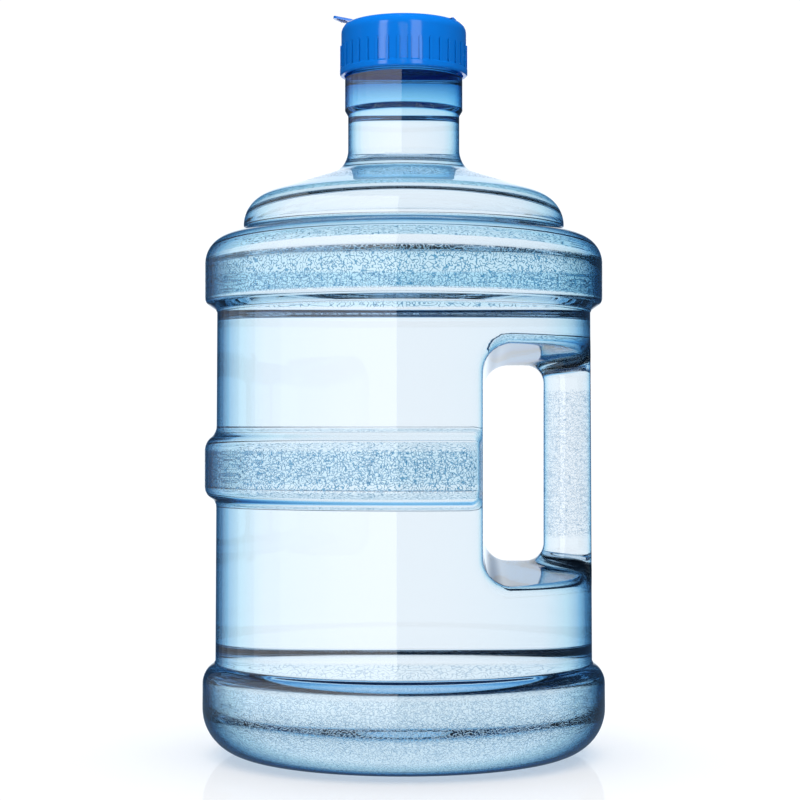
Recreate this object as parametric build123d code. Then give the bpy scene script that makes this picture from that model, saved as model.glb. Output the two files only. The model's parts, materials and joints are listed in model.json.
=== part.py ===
from build123d import *
import math
import os

# Large refillable water jug, about 7 litres, with a hollow moulded-in handle, a ribbed screw cap,
# a hinged dust lid and a push-in dispenser plug.
# Millimetres. Origin: centre of the foot ring on the plane it stands on. +Z up, handle on +X.

# Jug body
WALL = 2.0               # blown wall
BASE_R = 100.2           # lower band, the widest part
FOOT_RECESS_R = 66.0     # the foot ring is outside this radius
PUSH_UP = 6.0            # height of the recess under the base
FOOT_CORNER_R = 24.0
WALL_R_LOW = 93.9        # the wall draws in a little towards the top
WALL_R_HIGH = 93.0
MID_BAND_R = 99.1
TOP_BAND_R = 98.9
WAIST_R = 79.9
NECK_R = 27.85
COLLAR_R = 29.4
LOW_BAND_TOP = 42.2
MID_BAND_Z = (128.6, 155.5)
TOP_BAND_Z = (224.0, 253.6)
WAIST_Z = 260.2
DOME_EDGE_Z = 274.5
NECK_FOOT_Z = 291.4
COLLAR_Z = (320.3, 336.5)
NECK_TOP = 359.5

# Handle: a pocket cut through the right side, bridged by a hollow oval grip
POCKET_X = 40.0          # inner wall of the pocket, halfway through
POCKET_Z = (96.0, 193.0)
POCKET_CORNER_R = 13.0
POCKET_DRAFT = 3.5       # degrees, opening to the front and to the back
POCKET_EDGE_R = 5.0
GRIP_X = 82.2
GRIP_HALF = (11.8, 14.0)
MID_BAND_END_X = 33.0    # the middle band stops short of the pocket

# Neck thread and cap
LEAD = 6.0               # single start, right hand
FINISH_R = 27.2          # root of the neck thread
CREST_R = 28.7
THREAD_FOOT = 2.6        # width of a ridge at its root
THREAD_TIP = 1.2
NECK_THREAD_Z = 343.0    # lower end of the neck ridge
NECK_THREAD_TURNS = 2.0
CAP_THREAD_TURNS = 1.5
CAP_THREAD_DROP = 2.0    # the cap's ridge bears on the underside of the neck's
CAP_THREAD_R = 27.65     # tip of the cap's ridge
CAP_R = 31.25            # smooth upper part
CAP_BOTTOM = 337.7
CAP_TOP = 364.2
CAP_EDGE_R = 5.5
CAP_BORE_R = 29.75
LIP_R = 31.9
LIP_H = 3.0
RIB_COUNT = 36
RIB_R = 31.82            # face of the ribs
RIB_W = 1.5
RIB_DEPTH = 1.4
RIB_TOP = 352.6

# Seal ring between the cap and the rim of the neck
SEAL_T = 1.0
SEAL_INNER_R = 23.4
SEAL_OUTER_R = 28.9
DECK = NECK_TOP + SEAL_T  # underside of the cap's top wall

# Dispenser socket in the cap and the plug that closes it
SOCKET_R = 11.5
SOCKET_WALL = 1.5
SOCKET_DEPTH = 17.0
PLUG_R = 11.45
PLUG_WALL = 1.4
PLUG_H = 14.0
PLUG_TOP = 361.0

# Dust lid, in a shallow recess of the cap's top, hinged opposite its pull tab
LID_TURN = -15.0         # where the closed lid points once the cap is screwed home, degrees
LID_R = 19.0
LID_T = 1.2
LID_FLOOR = 363.3
LID_GAP = 0.35
LID_RING_R = 10.9
LID_RING_H = 1.2
TAB_TIP = 34.0
TAB_W = 11.0
TAB_TILT = 13.5
TAB_RIBS = 4
HINGE_X = 26.6
HINGE_Z = 363.0
PIN_R = 0.7
EAR_BORE_R = 0.72
KNUCKLE_BORE_R = 0.77
KNUCKLE_R = 1.5
KNUCKLE_W = 7.0
EAR_R = 1.6
EAR_W = 3.0

UP = (Align.CENTER, Align.CENTER, Align.MIN)
DOWN = (Align.CENTER, Align.CENTER, Align.MAX)


def inset_outline(corners, inset):
    """Moves every run of an outline inwards by inset. Corners are (radius, height, rounding)."""
    runs = [
        (Vector(a[0], a[1]), Vector(b[0] - a[0], b[1] - a[1]).normalized())
        for a, b in zip(corners, corners[1:])
    ]
    moved = [(p + Vector(-d.Y, d.X) * inset, d) for p, d in runs]
    out = [(0.0, moved[0][0].Y - moved[0][0].X * moved[0][1].Y / moved[0][1].X, 0.0)]
    for (p, d), (q, e), corner in zip(moved, moved[1:], corners[1:-1]):
        turn = d.X * e.Y - d.Y * e.X
        along = ((q.X - p.X) * e.Y - (q.Y - p.Y) * e.X) / turn
        rounding = corner[2] - inset if turn > 0 else corner[2] + inset
        out.append((p.X + d.X * along, p.Y + d.Y * along, max(rounding, 0.4)))
    last, d = moved[-1]
    out.append((last.X, corners[-1][1], 0.0))
    return out


def turned(corners):
    """A solid of revolution under an outline that starts and ends level with the axis."""
    points = [(r, z) for r, z, _ in corners]
    top = corners[-1][1]
    with BuildSketch(Plane.XZ) as section:
        with BuildLine():
            FilletPolyline(*points, radius=[c[2] for c in corners[1:-1]])
            Polyline(points[-1], (0, top), points[0])
        make_face()
    return revolve(section.sketch, Axis.Z)


def body_corners():
    """Outer outline of the jug, from the middle of the base to the root of the neck finish."""
    wall_at = lambda z: WALL_R_LOW + (WALL_R_HIGH - WALL_R_LOW) * (z - 50) / 160
    return [
        (0.0, PUSH_UP + 1.5, 0.0),
        (FOOT_RECESS_R - 10, PUSH_UP, 8.0),
        (FOOT_RECESS_R, 0.0, 5.0),
        (BASE_R, 0.0, FOOT_CORNER_R),
        (BASE_R, LOW_BAND_TOP, 11.0),
        (WALL_R_LOW, LOW_BAND_TOP + 3.5, 1.0),
        (wall_at(TOP_BAND_Z[0] - 4), TOP_BAND_Z[0] - 4, 1.5),
        (TOP_BAND_R, TOP_BAND_Z[0], 4.0),
        (TOP_BAND_R, TOP_BAND_Z[1], 14.2),
        (WAIST_R, WAIST_Z, 2.5),
        (WAIST_R, DOME_EDGE_Z, 16.5),
        (NECK_R, NECK_FOOT_Z, 13.0),
        (NECK_R, COLLAR_Z[0] - 2.6, 1.0),
        (COLLAR_R, COLLAR_Z[0], 0.6),
        (COLLAR_R, COLLAR_Z[1], 0.8),
        (FINISH_R, COLLAR_Z[1] + 1.2, 0.6),
        (FINISH_R, NECK_TOP, 0.0),
    ]


def mid_band(inset):
    """The hoop round the middle, cut off square before the pocket."""
    low, high = MID_BAND_Z
    buried = WALL_R_HIGH - 4
    corners = [
        (0.0, low - 9.0, 0.0),
        (buried, low - 9.0, 0.5),
        (buried, low - 5.0, 0.5),
        (MID_BAND_R, low, 6.5),
        (MID_BAND_R, high, 9.0),
        (buried, high + 7.0, 0.5),
        (buried, high + 10.0, 0.0),
    ]
    hoop = turned(inset_outline(corners, inset) if inset else corners)
    keep = Box(400, 400, 100, align=(Align.MAX, Align.CENTER, Align.CENTER))
    keep = Pos(MID_BAND_END_X - inset, 0, (low + high) / 2) * keep
    return hoop & keep


def pocket(grow):
    """The handle's cut-out, narrowest in the mould's parting plane and drafted to both faces."""
    low, high = POCKET_Z[0] - grow, POCKET_Z[1] + grow
    left, right = POCKET_X - grow, 140.0
    outline = RectangleRounded(right - left, high - low, POCKET_CORNER_R + grow)
    outline = Plane.XZ * Pos((left + right) / 2, (low + high) / 2) * outline
    halves = [extrude(outline, amount=110, dir=(0, side, 0), taper=-POCKET_DRAFT) for side in (-1, 1)]
    return halves[0] + halves[1]


def grip(inset):
    half_x, half_y = (h - inset for h in GRIP_HALF)
    low, high = POCKET_Z
    return Pos(GRIP_X, 0, low - 18) * extrude(Ellipse(half_x, half_y), amount=high - low + 36)


def jug_form(inset):
    """The jug's outer form, or its hollow when inset by the wall."""
    corners = body_corners()
    if inset:
        corners = inset_outline(corners, inset)
    form = turned(corners) - pocket(inset)
    mouths = [
        e for e in form.edges()
        if POCKET_Z[0] - 25 < e.center().Z < POCKET_Z[1] + 25
        and e.geom_type in (GeomType.BSPLINE, GeomType.ELLIPSE)
    ]
    form = fillet(mouths, POCKET_EDGE_R - inset)
    return form + mid_band(inset) + grip(inset)


def helical_ridge(root_r, tip_r, z, turns):
    """A trapezoid ridge wound about +Z, right hand, buried 0.3 mm in the wall that carries it."""
    buried = root_r - math.copysign(0.3, tip_r - root_r)
    path = Helix(pitch=LEAD, height=LEAD * turns, radius=root_r)
    with BuildSketch(Plane(origin=path @ 0, x_dir=(1, 0, 0), z_dir=path % 0)) as tooth:
        with BuildLine():
            Polyline(
                (buried - root_r, -THREAD_FOOT / 2),
                (buried - root_r, THREAD_FOOT / 2),
                (tip_r - root_r, THREAD_TIP / 2),
                (tip_r - root_r, -THREAD_TIP / 2),
                close=True,
            )
        make_face()
    return Pos(0, 0, z) * sweep(tooth.sketch, path=path, is_frenet=True)


def jug_body():
    """Blown shell with its handle, open at the mouth, and the ridge that the cap screws onto."""
    shell = jug_form(0.0) - jug_form(WALL)
    return shell + helical_ridge(FINISH_R, CREST_R, NECK_THREAD_Z, NECK_THREAD_TURNS)


def cap_ribs():
    """Grip ribs: upright bars with round tops, standing on the skirt."""
    foot = CAP_BOTTOM + LIP_H - 0.5
    height = RIB_TOP - foot
    profile = Rectangle(RIB_W, height - RIB_W / 2, align=(Align.CENTER, Align.MIN))
    profile += Pos(0, height - RIB_W / 2) * Circle(RIB_W / 2)
    bar = Plane.YZ.offset(RIB_R - RIB_DEPTH) * extrude(profile, amount=RIB_DEPTH)
    bar = Pos(0, 0, foot) * bar
    return [Rot(0, 0, 360 / RIB_COUNT * (i + 0.5)) * bar for i in range(RIB_COUNT)]


def hinge_barrel(radius, half_width, inner=0.0):
    """A round bar on the hinge line, or the two ends of one outside the inner half-width."""
    bar = Cylinder(radius, 2 * half_width)
    if inner:
        bar -= Cylinder(radius + 1, 2 * inner)
    return Pos(HINGE_X, 0, HINGE_Z) * Rot(90, 0, 0) * bar


def lid_plan(grow, height):
    """The lid seen from above, with its hinge strap, standing on the floor of the recess."""
    plan = Circle(LID_R + grow)
    plan += Rectangle(HINGE_X, KNUCKLE_W + 2 * grow, align=(Align.MIN, Align.CENTER))
    return Pos(0, 0, LID_FLOOR) * extrude(plan, amount=height)


def screw_cap():
    cap = turned([
        (0.0, CAP_BOTTOM, 0.0),
        (LIP_R, CAP_BOTTOM, 1.0),
        (LIP_R, CAP_BOTTOM + LIP_H, 0.5),
        (CAP_R, CAP_BOTTOM + LIP_H + 0.6, 0.5),
        (CAP_R, CAP_TOP, CAP_EDGE_R),
        (1.0, CAP_TOP, 0.0),
    ])
    cap += cap_ribs()
    cap -= Pos(0, 0, DECK) * Cylinder(CAP_BORE_R, 40, align=DOWN)
    cap += helical_ridge(CAP_BORE_R, CAP_THREAD_R, NECK_THREAD_Z - CAP_THREAD_DROP, CAP_THREAD_TURNS)
    cap += Pos(0, 0, DECK) * Cylinder(SOCKET_R + SOCKET_WALL, SOCKET_DEPTH, align=DOWN)

    notch_floor = HINGE_Z - KNUCKLE_R - LID_GAP
    notch_w = KNUCKLE_W + 2 * LID_GAP
    seat = lid_plan(LID_GAP, 10)
    seat += Pos(-LID_R, 0, LID_FLOOR) * Box(8, TAB_W + 2 * LID_GAP, 10, align=UP)
    notch_start = HINGE_X - KNUCKLE_R - LID_GAP
    seat += Pos(notch_start, 0, notch_floor) * Box(20, notch_w, 10, align=(Align.MIN, Align.CENTER, Align.MIN))
    ears = hinge_barrel(EAR_R, notch_w / 2 + EAR_W, notch_w / 2)
    bore = hinge_barrel(EAR_BORE_R, notch_w / 2 + EAR_W + 5)
    turn = Rot(0, 0, LID_TURN)
    cap = cap - turn * seat + turn * ears - turn * bore
    return cap - Pos(0, 0, CAP_TOP + 5) * Cylinder(SOCKET_R, 60)


def hinge_pin():
    half = KNUCKLE_W / 2 + LID_GAP + EAR_W
    return Rot(0, 0, LID_TURN) * hinge_barrel(PIN_R, half)


def dust_lid():
    """Flat lid with a locating ring, a tilted pull tab ribbed underneath, and the hinge knuckle."""
    lid = lid_plan(0.0, LID_T)
    ring = Cylinder(LID_RING_R, LID_RING_H, align=DOWN) - Cylinder(LID_RING_R - 1, LID_RING_H, align=DOWN)
    lid += Pos(0, 0, LID_FLOOR) * ring
    length = TAB_TIP - LID_R + 3
    tongue = Rectangle(length, TAB_W) + Pos(length / 2, 0) * Ellipse(3.0, TAB_W / 2)
    tab = extrude(tongue, amount=LID_T)
    for i in range(TAB_RIBS):
        tab += Pos(length / 2 - 1.3 * i, 0, 0) * Rot(90, 0, 0) * Cylinder(0.35, TAB_W - 3)
    tab = Pos(length / 2, 0, 0) * tab
    lid += Pos(3 - LID_R, 0, LID_FLOOR) * Rot(0, TAB_TILT, 0) * Rot(0, 0, 180) * tab
    lid += hinge_barrel(KNUCKLE_R, KNUCKLE_W / 2)
    lid -= hinge_barrel(KNUCKLE_BORE_R, KNUCKLE_W)
    return Rot(0, 0, LID_TURN) * lid


def dispenser_plug():
    """A cup, open to the outside, that the dispenser's probe pushes up the socket."""
    cup = Pos(0, 0, PLUG_TOP) * Cylinder(PLUG_R, PLUG_H, align=DOWN)
    cup = chamfer(cup.edges(), 0.5)
    cup -= Pos(0, 0, PLUG_TOP + 1) * Cylinder(PLUG_R - PLUG_WALL, PLUG_H + 1 - PLUG_WALL, align=DOWN)
    return cup


def seal_ring():
    ring = Cylinder(SEAL_OUTER_R, SEAL_T, align=UP) - Cylinder(SEAL_INNER_R, SEAL_T, align=UP)
    return Pos(0, 0, NECK_TOP) * ring


NODES = {
    "jug_body": jug_body,
    "screw_cap": screw_cap,
    "seal_ring": seal_ring,
    "dispenser_plug": dispenser_plug,
    "dust_lid": dust_lid,
    "lid_hinge_pin": hinge_pin,
}

os.makedirs("parts", exist_ok=True)
for name, make in NODES.items():
    export_step(make(), f"parts/{name}.step")
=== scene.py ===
import json
import math

import bpy
import numpy as np
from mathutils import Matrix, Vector

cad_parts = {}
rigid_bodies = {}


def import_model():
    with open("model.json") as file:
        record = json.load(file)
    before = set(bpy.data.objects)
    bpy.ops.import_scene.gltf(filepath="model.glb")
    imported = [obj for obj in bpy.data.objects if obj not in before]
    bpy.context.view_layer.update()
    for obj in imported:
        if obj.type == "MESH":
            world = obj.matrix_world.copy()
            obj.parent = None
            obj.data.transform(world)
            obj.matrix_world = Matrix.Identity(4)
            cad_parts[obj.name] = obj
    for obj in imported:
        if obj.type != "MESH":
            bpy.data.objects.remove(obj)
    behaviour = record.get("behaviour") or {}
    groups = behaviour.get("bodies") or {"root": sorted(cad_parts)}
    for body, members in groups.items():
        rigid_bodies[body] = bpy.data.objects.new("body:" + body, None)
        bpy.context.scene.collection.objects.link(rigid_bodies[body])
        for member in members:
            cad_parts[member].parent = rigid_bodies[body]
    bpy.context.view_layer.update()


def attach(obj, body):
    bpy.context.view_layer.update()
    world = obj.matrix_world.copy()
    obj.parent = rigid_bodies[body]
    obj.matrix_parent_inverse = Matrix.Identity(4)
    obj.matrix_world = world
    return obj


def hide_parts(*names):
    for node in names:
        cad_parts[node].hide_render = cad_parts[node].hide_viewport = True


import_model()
scene = bpy.context.scene


# ---------------------------------------------------------------------------------------------
# Camera and studio. A long lens stands level with the middle of the jug, about a metre away.
# A pale floor runs back into a white room, which is dim overhead and dim on the right.
# ---------------------------------------------------------------------------------------------

MM = 0.001
EYE = (-1.85 * MM, -1030 * MM, 156 * MM)
LENS, SENSOR, SHIFT = 92.7, 36.0, 0.05
NEAREST, FARTHEST = 0.05, 60.0

camera_data = bpy.data.cameras.new("studio_camera")
camera_data.lens = LENS
camera_data.sensor_width = SENSOR
camera_data.shift_y = SHIFT
camera_data.clip_start, camera_data.clip_end = NEAREST, FARTHEST
camera = bpy.data.objects.new("studio_camera", camera_data)
camera.location = EYE
camera.rotation_euler = (math.radians(90), 0, 0)
scene.collection.objects.link(camera)
scene.camera = camera
scene.view_settings.view_transform = "Standard"


def linear(hex_colour, alpha=1.0):
    """An sRGB hex colour as the linear RGBA that a shader socket takes."""
    parts = [int(hex_colour[i:i + 2], 16) / 255 for i in (1, 3, 5)]
    return (*[p / 12.92 if p <= 0.04045 else ((p + 0.055) / 1.055) ** 2.4 for p in parts], alpha)


def node(tree, kind, *inputs, stops=(), **settings):
    """Adds a shader node, sets it and links it.

    Inputs go to its sockets in order, and a setting goes to its own property or to the socket of that name.
    Another node, or one of its outputs, is linked. A text is an sRGB hex colour, and stops are a ramp's.
    """
    made = tree.nodes.new("ShaderNode" + kind)
    sockets = list(enumerate(inputs))
    for name, value in settings.items():
        if hasattr(made, name):
            setattr(made, name, value)
        else:
            sockets.append((name.replace("_", " "), value))
    for place, value in sockets:
        if isinstance(value, bpy.types.Node):
            value = value.outputs[0]
        if isinstance(value, bpy.types.NodeSocket):
            tree.links.new(value, made.inputs[place])
        else:
            made.inputs[place].default_value = linear(value) if isinstance(value, str) else value
    for number, (position, colour) in enumerate(stops):
        keys = made.color_ramp.elements
        key = keys[number] if number < len(keys) else keys.new(1.0)
        key.position, key.color = position, linear(colour)
    return made


def bare_tree(owner):
    """The empty node tree of a new material or world."""
    owner.use_nodes = True
    owner.node_tree.nodes.clear()
    return owner.node_tree


def mirrored_ray(tree):
    """One for a ray that has bounced off gloss, zero for one that has come through something clear."""
    path = node(tree, "LightPath")
    direct = node(tree, "Math", 1.0, path.outputs["Is Transmission Ray"], operation="SUBTRACT")
    return node(tree, "Math", path.outputs["Is Glossy Ray"], direct, operation="MULTIPLY")


# The room's colour from the height of the horizon up, as it looks through the jug.
ROOM_STOPS = [(0.0, "#ffffff"), (0.27, "#fafdff"), (0.36, "#9ed7f9"), (0.46, "#5590c4"), (0.54, "#162745")]
ROOM_THROUGH, ROOM_BEHIND, ROOM_FILL, ROOM_IN_GLOSS = 1.06, 1.05, 0.32, 1.4
# A pale cloth stands behind the jug; its half width and its soft side are directions, from 0 to 1.
CLOTH_EDGE, CLOTH_FULL, CLOTH_BACK = 0.24, 0.14, 0.80


def studio_world():
    """A white room, bluish and dark overhead; gloss picks up a dim room, so that only the lamps glint."""
    world = bpy.data.worlds.new("studio")
    tree = bare_tree(world)
    place = node(tree, "TexCoord").outputs["Generated"]
    x, y, z = node(tree, "SeparateXYZ", place).outputs
    through = node(tree, "Background", node(tree, "ValToRGB", z, stops=ROOM_STOPS), ROOM_THROUGH)
    behind = node(tree, "Background", "#ffffff", ROOM_BEHIND)
    fill = node(tree, "Background", "#ffffff", ROOM_FILL)
    aside = node(tree, "Math", x, operation="ABSOLUTE")
    cloth = node(tree, "MapRange", aside, CLOTH_EDGE, CLOTH_FULL, interpolation_type="SMOOTHSTEP")
    cloth = node(tree, "Math", cloth, node(tree, "Math", y, CLOTH_BACK, operation="GREATER_THAN"),
                 operation="MULTIPLY")
    cloth = node(tree, "ValToRGB", cloth, stops=[(0.0, "#293f59"), (1.0, "#ecf6ff")])
    gloss = node(tree, "Background", cloth, ROOM_IN_GLOSS)
    path = node(tree, "LightPath")
    seen = node(tree, "MixShader", path.outputs["Is Camera Ray"], through, behind)
    seen = node(tree, "MixShader", path.outputs["Is Diffuse Ray"], seen, fill)
    seen = node(tree, "MixShader", mirrored_ray(tree), seen, gloss)
    node(tree, "OutputWorld", seen)
    scene.world = world


studio_world()

FLOOR_HALF = 3.0
FLOOR_FADES = (160 * MM, 420 * MM)
FLOOR_POLISH, FLOOR_GLOW = 0.10, 1.05
GLOW_THROUGH_JUG, GLOW_SEEN = 0.85, 0.25


def plain_floor():
    """A white floor that fades into the white room a little way from the jug."""
    mesh = bpy.data.meshes.new("studio_floor")
    corners = [(-1, -1), (1, -1), (1, 1), (-1, 1)]
    mesh.from_pydata([(x * FLOOR_HALF, y * FLOOR_HALF, 0) for x, y in corners], [], [(0, 1, 2, 3)])
    made = bpy.data.objects.new("studio_floor", mesh)
    scene.collection.objects.link(made)
    # Matt white paint with a little polish: a soft shadow, and a faint mirror image of the foot.
    material = bpy.data.materials.new("white_floor")
    tree = bare_tree(material)
    matt = node(tree, "BsdfDiffuse", "#f9f9fa")
    polish = node(tree, "BsdfGlossy", "#ffffff", 0.04)
    paint = node(tree, "MixShader", FLOOR_POLISH, matt, polish)
    # Painted light: the floor glows like a light table, most for rays that come through the jug, lifting the shade
    # beneath it.
    glow = node(tree, "Emission", "#ffffff", FLOOR_GLOW)
    direct = node(tree, "LightPath").outputs["Is Camera Ray"]
    share = node(tree, "MapRange", direct, To_Min=GLOW_THROUGH_JUG, To_Max=GLOW_SEEN)
    paint = node(tree, "MixShader", share, paint, glow)
    # Painted reflection: in gloss the floor shows as a flat slate grey.
    paint = node(tree, "MixShader", mirrored_ray(tree), paint, node(tree, "Emission", "#596c81", 1.0))
    away = node(tree, "VectorMath", node(tree, "TexCoord").outputs["Object"], operation="LENGTH")
    fade = node(tree, "MapRange", away.outputs["Value"], *FLOOR_FADES, interpolation_type="SMOOTHSTEP")
    node(tree, "OutputMaterial", node(tree, "MixShader", fade, paint, node(tree, "BsdfTransparent")))
    mesh.materials.append(material)
    return made


floor = plain_floor()


# ---------------------------------------------------------------------------------------------
# Jug body: clear blue polycarbonate, blown in one piece with its hoops, neck, thread and grip.
# Its two skins are level sets of one field in millimetres, so the wall is the same all over.
# ---------------------------------------------------------------------------------------------

WALL = 2.0
RIM_Z = 359.5
BASE_R = 100.2
WALL_R_LOW, WALL_R_HIGH = 93.9, 93.0
MID_BAND_R, TOP_BAND_R, WAIST_R = 99.1, 98.9, 79.9
NECK_R, COLLAR_R, FINISH_R, THREAD_R = 27.85, 29.4, 27.2, 28.7
THREAD_LEAD, THREAD_START, THREAD_TURNS = 6.0, 343.0, 2.0
THREAD_HALF, THREAD_FLANK, THREAD_RUNOUT = 1.3, 0.467, 0.08
BODY_OUTLINE = [
    # radius, height, rounding of the corner
    (0.0, 7.5, 0), (56.0, 6.0, 8), (66.0, 0.0, 5), (BASE_R, 1.6, 23), (BASE_R, 42.2, 11),
    (WALL_R_LOW, 45.7, 1), (WALL_R_HIGH, 220.0, 1.5), (TOP_BAND_R, 224.0, 4), (TOP_BAND_R, 253.6, 14.2),
    (WAIST_R, 260.2, 2.5), (WAIST_R, 274.5, 16.5), (NECK_R, 291.4, 13), (NECK_R, 317.7, 1),
    (COLLAR_R, 320.3, 0.6), (COLLAR_R, 336.5, 0.8), (FINISH_R, 337.7, 0.6), (FINISH_R, 370.0, 0),
]
BAND_OUTLINE = [
    (70.0, 119.6, 0), (89.0, 119.6, 1), (89.0, 123.6, 1), (MID_BAND_R, 128.6, 6.5),
    (MID_BAND_R, 155.5, 9), (89.0, 162.5, 1), (89.0, 165.5, 1), (70.0, 165.5, 0),
]
BAND_END_X, BAND_END_ROUND, BAND_FILLET = 36.5, 5.0, 2.5
# The hand's pocket starts at this x; its roof and floor open out towards the front and back walls.
POCKET_X, POCKET_Z, POCKET_CORNER, POCKET_DEEP = 40.0, (96.0, 193.0), 12.0, 60.0
POCKET_RISE, POCKET_FLARE, POCKET_MOST = 8.5, 3.8, 1.3
GRIP_X, GRIP_HALF, GRIP_CORNER, GRIP_DEEP, GRIP_FILLET = 69.8, 13.5, 10.5, 40.0, 9.0
# The pocket's edge is rounder beside the grip than it is at the front and back walls.
EDGE_BY_GRIP, EDGE_BY_WALL, EDGE_CHANGES = 9.0, 5.0, (14, 26)


def rounded_outline(corners):
    """Straight runs and tangent arcs of an outline: (start, end) pairs and (centre, radius, side, from, to)."""
    points = [np.array(c[:2], float) for c in corners]
    runs, arcs = [], []
    start = points[0]
    for before, here, after, corner in zip(points, points[1:], points[2:], corners[1:-1]):
        d = (here - before) / np.linalg.norm(here - before)
        e = (after - here) / np.linalg.norm(after - here)
        turn = math.atan2(d[0] * e[1] - d[1] * e[0], float(d @ e))
        reach = corner[2] * math.tan(abs(turn) / 2)
        side = math.copysign(1.0, turn)
        runs.append((start, here - d * reach))
        centre = here - d * reach + side * corner[2] * np.array([-d[1], d[0]])
        arcs.append((centre, corner[2], side, here, turn))
        start = here + e * reach
    runs.append((start, points[-1]))
    return runs, arcs


def outline_field(outline):
    """Signed distance to an outline in (radius, height), negative on the left of its runs."""
    runs, arcs = outline

    def field(r, z):
        best = np.full(np.broadcast(r, z).shape, 1e6)
        for p, q in runs:
            d = q - p
            length = max(np.linalg.norm(d), 1e-9)
            d = d / length
            along = (r - p[0]) * d[0] + (z - p[1]) * d[1]
            across = (r - p[0]) * d[1] - (z - p[1]) * d[0]
            beyond = np.maximum(np.maximum(-along, along - length), 0)
            reach = np.hypot(across, beyond)
            best = np.where(reach < np.abs(best), np.copysign(reach, across), best)
        for centre, radius, side, corner, turn in arcs:
            u, v = r - centre[0], z - centre[1]
            axis = (corner - centre) / np.linalg.norm(corner - centre)
            away = np.hypot(u, v)
            inside = u * axis[0] + v * axis[1] > away * math.cos(abs(turn) / 2)
            reach = (away - radius) * side
            best = np.where(inside & (np.abs(reach) < np.abs(best)), reach, best)
        return best

    return field


def soft_and(a, b, radius):
    """Where both fields are negative, with the edge between them rounded."""
    return np.minimum(np.maximum(a, b), -radius) + np.hypot(np.maximum(a + radius, 0), np.maximum(b + radius, 0))


def soft_or(a, b, radius):
    """Where either field is negative, with a hollow fillet between them."""
    return np.maximum(np.minimum(a, b), radius) - np.hypot(np.maximum(radius - a, 0), np.maximum(radius - b, 0))


def rounded_box(u, v, half_u, half_v, corner):
    """Signed distance to a rectangle about zero with rounded corners."""
    du, dv = np.abs(u) - half_u + corner, np.abs(v) - half_v + corner
    return np.minimum(np.maximum(du, dv), 0) + np.hypot(np.maximum(du, 0), np.maximum(dv, 0)) - corner


def ease(low, high, value):
    """From 0 to 1 between two values, starting and stopping gently."""
    t = np.clip((value - low) / (high - low), 0, 1)
    return t * t * (3 - 2 * t)


body_field = outline_field(rounded_outline(BODY_OUTLINE))
band_field = outline_field(rounded_outline(BAND_OUTLINE))


def jug_field(x, y, z):
    """Signed distance, in millimetres, to the outside of the jug without its thread."""
    r = np.hypot(x, y)
    hoop = soft_and(band_field(r, z), x - BAND_END_X, BAND_END_ROUND)
    form = soft_or(body_field(r, z), hoop, BAND_FILLET)
    # How near the pocket's mouth a point is: 0 on the middle plane, 1 at the wall.
    wall_y = np.sqrt(np.maximum(WALL_R_HIGH**2 - x * x, 24.0**2))
    mouth = np.minimum(np.sqrt(y * y + 4.0) / wall_y, POCKET_MOST)
    low, high = POCKET_Z
    half = (high - low) / 2 + POCKET_RISE * mouth
    pocket = rounded_box(x - POCKET_X - POCKET_DEEP, z - (low + high) / 2, POCKET_DEEP + POCKET_FLARE * mouth,
                         half, POCKET_CORNER + 2 * mouth)
    grip = rounded_box(x - GRIP_X - GRIP_DEEP, y, GRIP_DEEP, GRIP_HALF, GRIP_CORNER)
    kept = soft_or(-pocket, grip, GRIP_FILLET)
    edge = EDGE_BY_GRIP + (EDGE_BY_WALL - EDGE_BY_GRIP) * ease(*EDGE_CHANGES, np.abs(y))
    return soft_and(form, kept, edge)


def thread_field(x, y, z):
    """The ridge wound round the neck finish, dying away at both ends."""
    r = np.hypot(x, y)
    turn = np.arctan2(y, x) / (2 * math.pi) % 1.0
    best = np.full(r.shape, 1e3)
    for n in range(-1, int(THREAD_TURNS) + 1):
        along = np.clip(turn + n, 0, THREAD_TURNS)
        past = np.abs(turn + n - along) * 2 * math.pi * FINISH_R
        rise = ease(0, THREAD_RUNOUT, along) * ease(0, THREAD_RUNOUT, THREAD_TURNS - along)
        crest = FINISH_R + (THREAD_R - FINISH_R) * rise
        across = np.abs(z - THREAD_START - THREAD_LEAD * (turn + n))
        flank = (across - THREAD_HALF + (r - FINISH_R) * THREAD_FLANK) * 0.9
        best = np.minimum(best, np.maximum(np.maximum(flank, r - crest), past))
    return best


def outer_field(x, y, z):
    """Signed distance to the outside of the jug with its thread."""
    return np.minimum(jug_field(x, y, z), thread_field(x, y, z))


def steps(*spans):
    """Grid lines: from each (start, spacing) to the next start, evenly."""
    lines = []
    for (start, spacing), (stop, _) in zip(spans, spans[1:]):
        count = max(1, round((stop - start) / spacing))
        lines += list(np.linspace(start, stop, count, endpoint=False))
    return np.array(lines + [spans[-1][0]])


# The grid is close where the form turns, and wide on the plain walls.
RADII = steps((0.5, 6), (24, 1.0), (30, 2.4), (50, 3.0), (64, 2.4), (100, 2.0), (104, 1))
HEIGHTS = steps(
    (-2, 1.8), (50, 4), (83, 1.8), (112, 4), (120, 1.7), (166, 4), (180, 1.8), (208, 3.5), (217, 1.3), (231, 4),
    (242, 1.3), (266, 1.6), (300, 4), (315, 0.8), (323, 4), (334, 0.8), (339, 0.75), (357, 1.25), (RIM_Z, 1),
)
INNER_HEIGHTS = steps(
    (-2, 1.9), (50, 4), (83, 2), (112, 4), (118, 1.9), (168, 4), (180, 2), (208, 3.5), (215, 1.5), (231, 4),
    (240, 1.5), (266, 1.8), (300, 4), (315, 1.2), (323, 4), (334, 1.2), (341, 4), (355, 2.25), (RIM_Z, 1),
)
ANGLES = np.radians(steps((-180, 3.2), (-80, 1.65), (80, 3.2), (180, 1)))[:-1]


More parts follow.
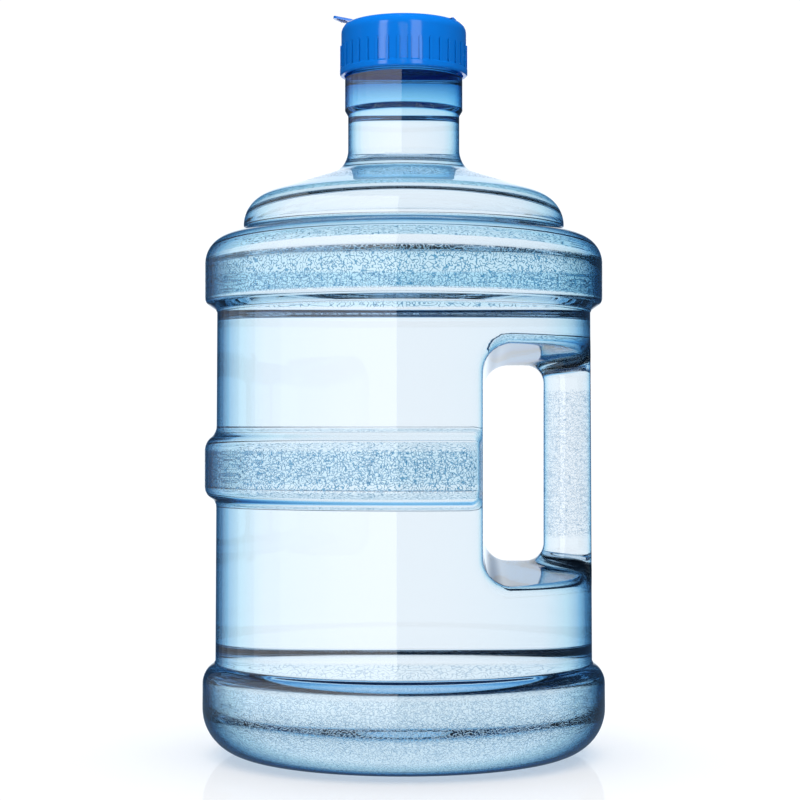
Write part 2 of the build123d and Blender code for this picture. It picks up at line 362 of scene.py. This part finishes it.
def level_set(field, heights):
    """The zero level of a field on a round grid: points, quads, which points are at the pole, and the top ring."""
    nr, nt, nz = len(RADII), len(ANGLES), len(heights)
    r, t, z = np.meshgrid(RADII, ANGLES, heights, indexing="ij")
    grid = np.stack([r * np.cos(t), r * np.sin(t), z])
    value = field(*grid)
    cells = np.arange((nr - 1) * nt * (nz - 1)).reshape(nr - 1, nt, nz - 1)
    total, count, quads = np.zeros((3, cells.size)), np.zeros(cells.size), []
    # Each grid edge that the level crosses gives a point to its four cells, and one quad that joins them.
    for axis in range(3):
        keep = -1 if axis != 1 else None
        here = tuple(slice(None, keep) if k == axis else slice(None) for k in range(3))
        there_value, there = np.roll(value, -1, axis)[here], np.roll(grid, -1, axis + 1)[(slice(None), *here)]
        one, place = value[here], grid[(slice(None), *here)]
        crossed = (one < 0) != (there_value < 0)
        share = one[crossed] / (one[crossed] - there_value[crossed])
        point = place[:, crossed] * (1 - share) + there[:, crossed] * share
        u, v = (k for k in range(3) if k != axis)
        ring = []
        for du, dv in ((0, 0), (1, 0), (1, 1), (0, 1)):
            at = list(np.nonzero(crossed))
            at[u], at[v] = at[u] - du, at[v] - dv
            at[1] %= nt
            real = (at[0] >= 0) & (at[0] < nr - 1) & (at[2] >= 0) & (at[2] < nz - 1)
            cell = np.where(real, cells[at[0] % (nr - 1), at[1], at[2] % (nz - 1)], -1)
            for k in range(3):
                total[k] += np.bincount(cell[real], point[k][real], cells.size)
            count += np.bincount(cell[real], minlength=cells.size)
            ring.append(cell)
        ring = np.stack(ring, 1)
        outward = (one[crossed] < 0) ^ (axis == 1)
        ring[~outward] = ring[~outward][:, ::-1]
        quads.append(ring[(ring >= 0).all(1)])
    used = np.flatnonzero(count)
    number = np.full(cells.size, -1)
    number[used] = np.arange(len(used))
    points = (total[:, used] / count[used]).T
    ring, turn, row = np.unravel_index(used, cells.shape)
    top = np.flatnonzero(row == nz - 2)
    return points, number[np.concatenate(quads)], ring == 0, top[np.argsort(turn[top])]


def slope(field, points, step=0.02):
    """The field's gradient at each point."""
    grad = np.empty_like(points)
    for k in range(3):
        shift = np.eye(3)[k] * step
        grad[:, k] = (field(*(points + shift).T) - field(*(points - shift).T)) / (2 * step)
    return grad


SETTLING, FARTHEST_MOVE = 4, 1.5


def skin(field, heights):
    """One skin of the jug, open at the top: points on the zero level, faces, normals and the top ring."""
    points, quads, pole, top = level_set(field, heights)
    for _ in range(SETTLING):
        grad = slope(field, points)
        move = grad * (field(*points.T) / np.maximum((grad * grad).sum(1), 0.05))[:, None]
        far = np.maximum(np.linalg.norm(move, axis=1), 1e-9)
        points = points - move * np.minimum(1, FARTHEST_MOVE / far)[:, None]
    points[top, 2] = heights[-1]
    points[pole] = (0, 0, points[pole, 2].mean())
    pole_ids = np.flatnonzero(pole)
    quads = np.where(np.isin(quads, pole_ids), pole_ids[0], quads)
    faces = [tuple(dict.fromkeys(q)) for q in quads.tolist()]
    normals = slope(field, points)
    normals /= np.maximum(np.linalg.norm(normals, axis=1), 1e-9)[:, None]
    return points, [f for f in faces if len(f) > 2], normals, top


def solid_mesh(name, points, faces, normals=None):
    """A mesh, in metres, from points in millimetres, leaving out the points that no face uses."""
    used = np.unique(np.concatenate([np.array(f) for f in faces]))
    number = np.zeros(len(points), int)
    number[used] = np.arange(len(used))
    mesh = bpy.data.meshes.new(name)
    mesh.from_pydata((points[used] * MM).tolist(), [], [[int(number[i]) for i in f] for f in faces])
    mesh.shade_smooth()
    if normals is not None:
        mesh.normals_split_custom_set(normals)
    piece = bpy.data.objects.new(name, mesh)
    scene.collection.objects.link(piece)
    return piece


PLASTIC_IOR, WATER_IOR = 1.585, 1.333
WATER_TOP = 341.5
BORE_FROM = 298


def inner_field(x, y, z):
    """Signed distance to the hollow: the outer form less the wall, and a plain bore up through the collar."""
    bore = np.where(z > BORE_FROM, np.hypot(x, y) - NECK_R + WALL, -1e3)
    return np.maximum(jug_field(x, y, z) + WALL, bore)


def jug_shell():
    """Both skins with the rim between them: one closed mesh. Faces of the hollow below the water are marked wet."""
    outer, outer_faces, outer_normals, outer_top = skin(outer_field, HEIGHTS)
    inner, inner_faces, inner_normals, inner_top = skin(inner_field, INNER_HEIGHTS)
    first = len(outer)
    inner_faces = [tuple(i + first for i in reversed(f)) for f in inner_faces]
    inner_top = inner_top + first
    count = len(outer_top)
    ahead = [(i + 1) % count for i in range(count)]
    rim = [(outer_top[i], outer_top[j], inner_top[j], inner_top[i]) for i, j in enumerate(ahead)]
    points = np.concatenate([outer, inner])
    normals = np.concatenate([outer_normals, -inner_normals])
    faces = outer_faces + inner_faces + rim
    loops = [normals[i] for f in outer_faces + inner_faces for i in f] + [(0, 0, 1)] * (4 * count)
    piece = solid_mesh("jug_shell", points, faces, loops)
    wet = [points[list(f), 2].mean() < WATER_TOP for f in inner_faces]
    wet = np.concatenate([np.zeros(len(outer_faces)), wet, np.zeros(count)])
    piece.data.attributes.new("wet", "FLOAT", "FACE").data.foreach_set("value", wet.astype(np.float32))
    return piece


BUMP_PITCH, BUMP_DEPTH = 1.45 * MM, 0.04 * MM
# How strongly each zone is frosted, how strongly it is tinted, and which zones take painted shade where they are
# seen edge on.
FROST_SHARE = {"middle": 1.0, "upper": 1.0, "ring": 1.0, "handle": 0.38, "lower": 0.38}
FROST_TINT = {"upper": 1.0, "middle": 0.55, "lower": 0.35, "ring": 0.3}
FROST_EDGE_SHADE = {"middle": 1.0, "upper": 1.0, "lower": 1.0}
FROST_MATT = 0.40


def within(tree, value, low, high, soft):
    """One between two heights (or other values), zero outside, with soft ends."""
    up = node(tree, "MapRange", value, low - soft, low + soft)
    down = node(tree, "MapRange", value, high + soft, high - soft)
    return node(tree, "Math", up, down, operation="MULTIPLY")


def strongest(tree, zones, weights):
    """The largest of several zones, each times its weight."""
    best = 0.0
    for name, weight in weights.items():
        weighed = node(tree, "Math", zones[name], weight, operation="MULTIPLY")
        best = node(tree, "Math", best, weighed, operation="MAXIMUM")
    return best


def tinted(tree, share, colour, under):
    """White turning to a colour by a share from 0 to 1, laid over another colour."""
    over = node(tree, "ValToRGB", share, stops=[(0.0, "#ffffff"), (1.0, colour)])
    return node(tree, "VectorMath", over, under, operation="MULTIPLY")


def frosting(tree, place):
    """The worm-like relief of the mould, 1.5 mm from ridge to ridge, the zones that carry it, and where they take
    painted shade edge on.
    """
    x, y, z = node(tree, "SeparateXYZ", place).outputs
    radius = node(tree, "VectorMath", place, (1, 1, 0), operation="MULTIPLY")
    radius = node(tree, "VectorMath", radius, operation="LENGTH").outputs["Value"]
    aside = node(tree, "Math", y, operation="ABSOLUTE")
    # A ridge runs where smooth noise is near its middle value, so the ridges wander and close on themselves.
    noise = node(tree, "TexNoise", place, Scale=1 / BUMP_PITCH, Detail=0.0)
    off_middle = node(tree, "Math", node(tree, "Math", noise, 0.5, operation="SUBTRACT"), operation="ABSOLUTE")
    worms = node(tree, "MapRange", off_middle, 0.075, 0.02, interpolation_type="SMOOTHSTEP")
    zones = {}
    for name, along, low, high, soft, *limits in (
        ("lower", z, -10, 38, 0.8, (radius, "GREATER_THAN", 78)),
        ("middle", z, 132.5, 151, 0.6, (radius, "GREATER_THAN", 92.3), (x, "LESS_THAN", 33)),
        ("upper", z, 225.5, 244, 0.6, (radius, "GREATER_THAN", 92.3)),
        ("ring", radius, 37, 58, 1.5, (z, "GREATER_THAN", 270)),
        ("handle", z, 108, 180.5, 0.8, (x, "GREATER_THAN", 36), (aside, "LESS_THAN", 15)),
    ):
        zones[name] = within(tree, along, low * MM, high * MM, soft * MM)
        for value, comparison, bound in limits:
            inside = node(tree, "Math", value, bound * MM, operation=comparison)
            zones[name] = node(tree, "Math", zones[name], inside, operation="MULTIPLY")
    worms = node(tree, "Math", worms, strongest(tree, zones, FROST_SHARE), operation="MULTIPLY")
    return worms, strongest(tree, zones, FROST_TINT), strongest(tree, zones, FROST_EDGE_SHADE)


# The plastic is bluer and darker the more it is seen edge on, from facing the eye (0) to edge on (1): partly the
# tint of a longer path through the wall, partly painted shade at the outline.
EDGE_TINT_AND_SHADE_STOPS = [(0.0, "#ffffff"), (0.33, "#eff9fe"), (0.5, "#bcebfa"), (0.65, "#59a6da"), (0.74, "#195086"),
              (0.86, "#032145")]
# It is thin on the dome and thick in the neck, which moves those colours in or out.
DOME_Z, DOME_THIN = (262 * MM, 270 * MM), 0.80
NECK_Z, NECK_THICK = (290 * MM, 297 * MM), 1.36
# The collar deepens in colour up to the cap: partly the tint of its thicker wall, partly painted shade under the
# cap.
COLLAR_Z = (316 * MM, 340 * MM)
COLLAR_TINT_AND_SHADE_STOPS = [(0.0, "#ffffff"), (0.2, "#c4effd"), (0.55, "#76c8f3"), (0.85, "#1961ad")]
BODY_TINT, BODY_TINT_DENSITY = "#59bfec", 60.0


def clear_plastic():
    """Blow-moulded polycarbonate: colourless gloss outside, and a blue painted where the wall is seen edge on,
    partly tint and partly painted shade.

    Where water wets its inner skin, the step in refractive index is smaller, and that skin nearly vanishes.
    """
    material = bpy.data.materials.new("clear_polycarbonate")
    tree = bare_tree(material)
    place = node(tree, "TexCoord").outputs["Object"]
    worms, zones, edge_shade_zones = frosting(tree, place)
    relief = node(tree, "Bump", Height=worms, Strength=1.0, Distance=BUMP_DEPTH)
    height = node(tree, "SeparateXYZ", place).outputs["Z"]
    facing = node(tree, "LayerWeight", 0.5).outputs["Facing"]
    thin = node(tree, "MapRange", height, *DOME_Z, 1.0, DOME_THIN)
    thick = node(tree, "MapRange", height, *NECK_Z, 1.0, NECK_THICK)
    thickness = node(tree, "Math", thin, thick, operation="MULTIPLY")
    facing = node(tree, "Math", facing, thickness, operation="MULTIPLY")
    # Painted shade: the facing ramp darkens the wall towards its outline.
    colour = node(tree, "ValToRGB", facing, stops=EDGE_TINT_AND_SHADE_STOPS)
    # Painted shade, with some tint: the collar darkens towards the cap.
    collar = node(tree, "ValToRGB", node(tree, "MapRange", height, *COLLAR_Z), stops=COLLAR_TINT_AND_SHADE_STOPS)
    colour = node(tree, "VectorMath", colour, collar, operation="MULTIPLY")
    colour = tinted(tree, worms, "#59a6d1", colour)
    colour = tinted(tree, zones, "#c4ecf9", colour)
    # Painted shade: the frosted bands darken where they are seen edge on.
    frost_edge_shade = node(tree, "Math", edge_shade_zones, node(tree, "MapRange", facing, 0.35, 0.75), operation="MULTIPLY")
    colour = tinted(tree, frost_edge_shade, "#274561", colour)
    dry = node(tree, "BsdfPrincipled", Base_Color=colour, Normal=relief, Transmission_Weight=1.0, Roughness=0.0,
               IOR=PLASTIC_IOR)
    wet = node(tree, "BsdfPrincipled", Base_Color="#ffffff", Transmission_Weight=1.0, Roughness=0.0,
               IOR=PLASTIC_IOR / WATER_IOR)
    matt = node(tree, "Math", worms, FROST_MATT, operation="MULTIPLY")
    dry = node(tree, "MixShader", matt, dry, node(tree, "BsdfDiffuse", "#27597c"))
    where = node(tree, "Attribute", attribute_name="wet").outputs["Fac"]
    wall = node(tree, "MixShader", where, dry, wet)
    # Its shadow is a pale grey, as light passes through it.
    shade = node(tree, "BsdfTransparent", "#ecf0f3")
    wall = node(tree, "MixShader", node(tree, "LightPath").outputs["Is Shadow Ray"], wall, shade)
    tint = node(tree, "VolumeAbsorption", BODY_TINT, BODY_TINT_DENSITY)
    node(tree, "OutputMaterial", wall, tint)
    return material


shell = jug_shell()
shell.data.materials.append(clear_plastic())
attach(shell, "jug")
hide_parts("jug_body")


# ---------------------------------------------------------------------------------------------
# Water: it fills the jug up into the collar. Its sides are left to the wetted skin of the jug,
# so that light bends once there, and only its level top is a surface of its own.
# ---------------------------------------------------------------------------------------------

WATER_GAP = 0.05


def water_fill():
    heights = np.append(INNER_HEIGHTS[INNER_HEIGHTS < WATER_TOP - 1], WATER_TOP)
    points, faces, normals, top = skin(lambda x, y, z: inner_field(x, y, z) + WATER_GAP, heights)
    sides = len(faces)
    piece = solid_mesh("water_fill", points, faces + [tuple(top.tolist())])
    for name, shader, settings in (
        ("water_against_the_wall", "BsdfTransparent", {}),
        ("water_surface", "BsdfPrincipled", {"Transmission_Weight": 1.0, "Roughness": 0.0, "IOR": WATER_IOR}),
    ):
        material = bpy.data.materials.new(name)
        tree = bare_tree(material)
        node(tree, "OutputMaterial", node(tree, shader, **settings))
        piece.data.materials.append(material)
    piece.data.polygons[sides].material_index = 1
    piece.data.polygons[sides].use_smooth = False
    piece.visible_shadow = False
    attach(piece, "jug")


water_fill()


# ---------------------------------------------------------------------------------------------
# Screw cap and dust lid: injection-moulded blue polypropylene. The cap's ribs and lip and the
# lid's tab come from the frame, and only their finish is set here.
# ---------------------------------------------------------------------------------------------

# How far the painted shade in creases reaches.
CREASE_SHADE_REACH = 2.0 * MM


def finished(pieces, name, colour, crease_shade=None, **settings):
    """Gives pieces a moulded or drawn finish, with painted shade in creases narrower than 2 mm when a shade colour
    is given.
    """
    material = bpy.data.materials.new(name)
    tree = bare_tree(material)
    if crease_shade:
        # Painted shade: the colour darkens where ambient occlusion finds the surface hemmed in.
        near = node(tree, "AmbientOcclusion", Distance=CREASE_SHADE_REACH, samples=12).outputs["AO"]
        colour = node(tree, "ValToRGB", near, stops=[(0.35, crease_shade), (0.85, colour)])
    node(tree, "OutputMaterial", node(tree, "BsdfPrincipled", Base_Color=colour, **settings))
    for piece in pieces:
        piece.data.materials.clear()
        piece.data.materials.append(material)


# Moulded polypropylene: an even, semi-gloss blue, with painted shade between the ribs.
cap_pieces = [bpy.data.objects[n] for n in ("screw_cap", "dust_lid")]
finished(cap_pieces, "blue_polypropylene", "#046ccb", crease_shade="#013c75", Roughness=0.13)


# ---------------------------------------------------------------------------------------------
# Seal ring, dispenser plug and hinge pin: a pressed silicone ring on the rim, a moulded
# polyethylene cup in the cap's socket, and a length of drawn stainless wire through the ears.
# ---------------------------------------------------------------------------------------------

# Silicone is milky and dull. Natural polyethylene is waxy white. Drawn wire is a soft grey mirror.
finished([bpy.data.objects["seal_ring"]], "silicone", "#d9dcdd", Roughness=0.45)
finished([bpy.data.objects["dispenser_plug"]], "natural_polyethylene", "#e4e9ec", Roughness=0.35)
finished([bpy.data.objects["lid_hinge_pin"]], "stainless_steel", "#b9bcbe", Roughness=0.25, Metallic=1.0)


# ---------------------------------------------------------------------------------------------
# Lamps: a broad soft light overhead, small ones round the cap, and a tall soft wall of light on
# the left, in panels that fade towards the back. Lamps for the jug and for the cap are apart.
# ---------------------------------------------------------------------------------------------

def area_light(name, place, aim, size, power, lights_up, seen=True):
    """A soft rectangular lamp that lights only some pieces, and may be kept out of reflections."""
    data = bpy.data.lights.new(name, "AREA")
    data.shape = "RECTANGLE"
    data.size, data.size_y = size
    data.energy = power
    light = bpy.data.objects.new(name, data)
    light.location = place
    light.rotation_euler = (Vector(aim) - Vector(place)).to_track_quat("-Z", "Y").to_euler()
    light.visible_camera = False
    light.visible_transmission = False
    light.visible_glossy = seen
    group = bpy.data.collections.new(name + "_pieces")
    for piece in lights_up:
        group.objects.link(piece)
    light.light_linking.receiver_collection = group
    scene.collection.objects.link(light)


LAMP_HEIGHT = 3.0
CAP_LAMPS_AWAY, CAP_LAMPS_HEIGHT, CAP_LAMP_SIZE = 2.5, 0.9, (0.6, 0.6)
CAP_AIM = (0, 0, 0.36)
area_light("overhead", (0, 0, LAMP_HEIGHT), (0, 0, 0), (4, 4), 115, [floor, shell], seen=False)
area_light("cap_overhead", (0, 0, LAMP_HEIGHT), (0, 0, 0), (1, 1), 62, cap_pieces, seen=False)
for quarter, power in enumerate((46, 2, 30, 2)):
    turn = math.radians(90 * quarter)
    place = (CAP_LAMPS_AWAY * math.sin(turn), -CAP_LAMPS_AWAY * math.cos(turn), CAP_LAMPS_HEIGHT)
    area_light("round_the_cap", place, (0, 0, 0.35), CAP_LAMP_SIZE, power, cap_pieces, seen=False)
area_light("strip_left", (-0.96, -1.25, 0.85), CAP_AIM, (0.40, 1.0), 4, cap_pieces)
area_light("strip_right", (0.62, -1.45, 0.85), CAP_AIM, (0.52, 1.0), 4, cap_pieces)

PANEL_AWAY, PANEL_TALL, PANEL_HEIGHT, PANEL_AIM = 2.8, 4.4, 1.4, (0, 0, 1.4)
LEFT_PANELS = [
    # from and to, in degrees round to the left of the camera, and radiance
    (4.1, 45, 1.9), (45, 78, 1.8), (78, 100, 1.4), (100, 118, 0.9), (118, 132, 0.5), (132, 143, 0.22),
    (143, 151, 0.08),
]
for start, end, radiance in LEFT_PANELS:
    turns = [math.radians(angle) for angle in (start, end)]
    near, far = (Vector((-math.sin(t) * PANEL_AWAY, -math.cos(t) * PANEL_AWAY, PANEL_HEIGHT)) for t in turns)
    width = (far - near).length
    power = radiance * math.pi * width * PANEL_TALL
    area_light("left_panel", (near + far) / 2, PANEL_AIM, (width, PANEL_TALL), power, [shell])
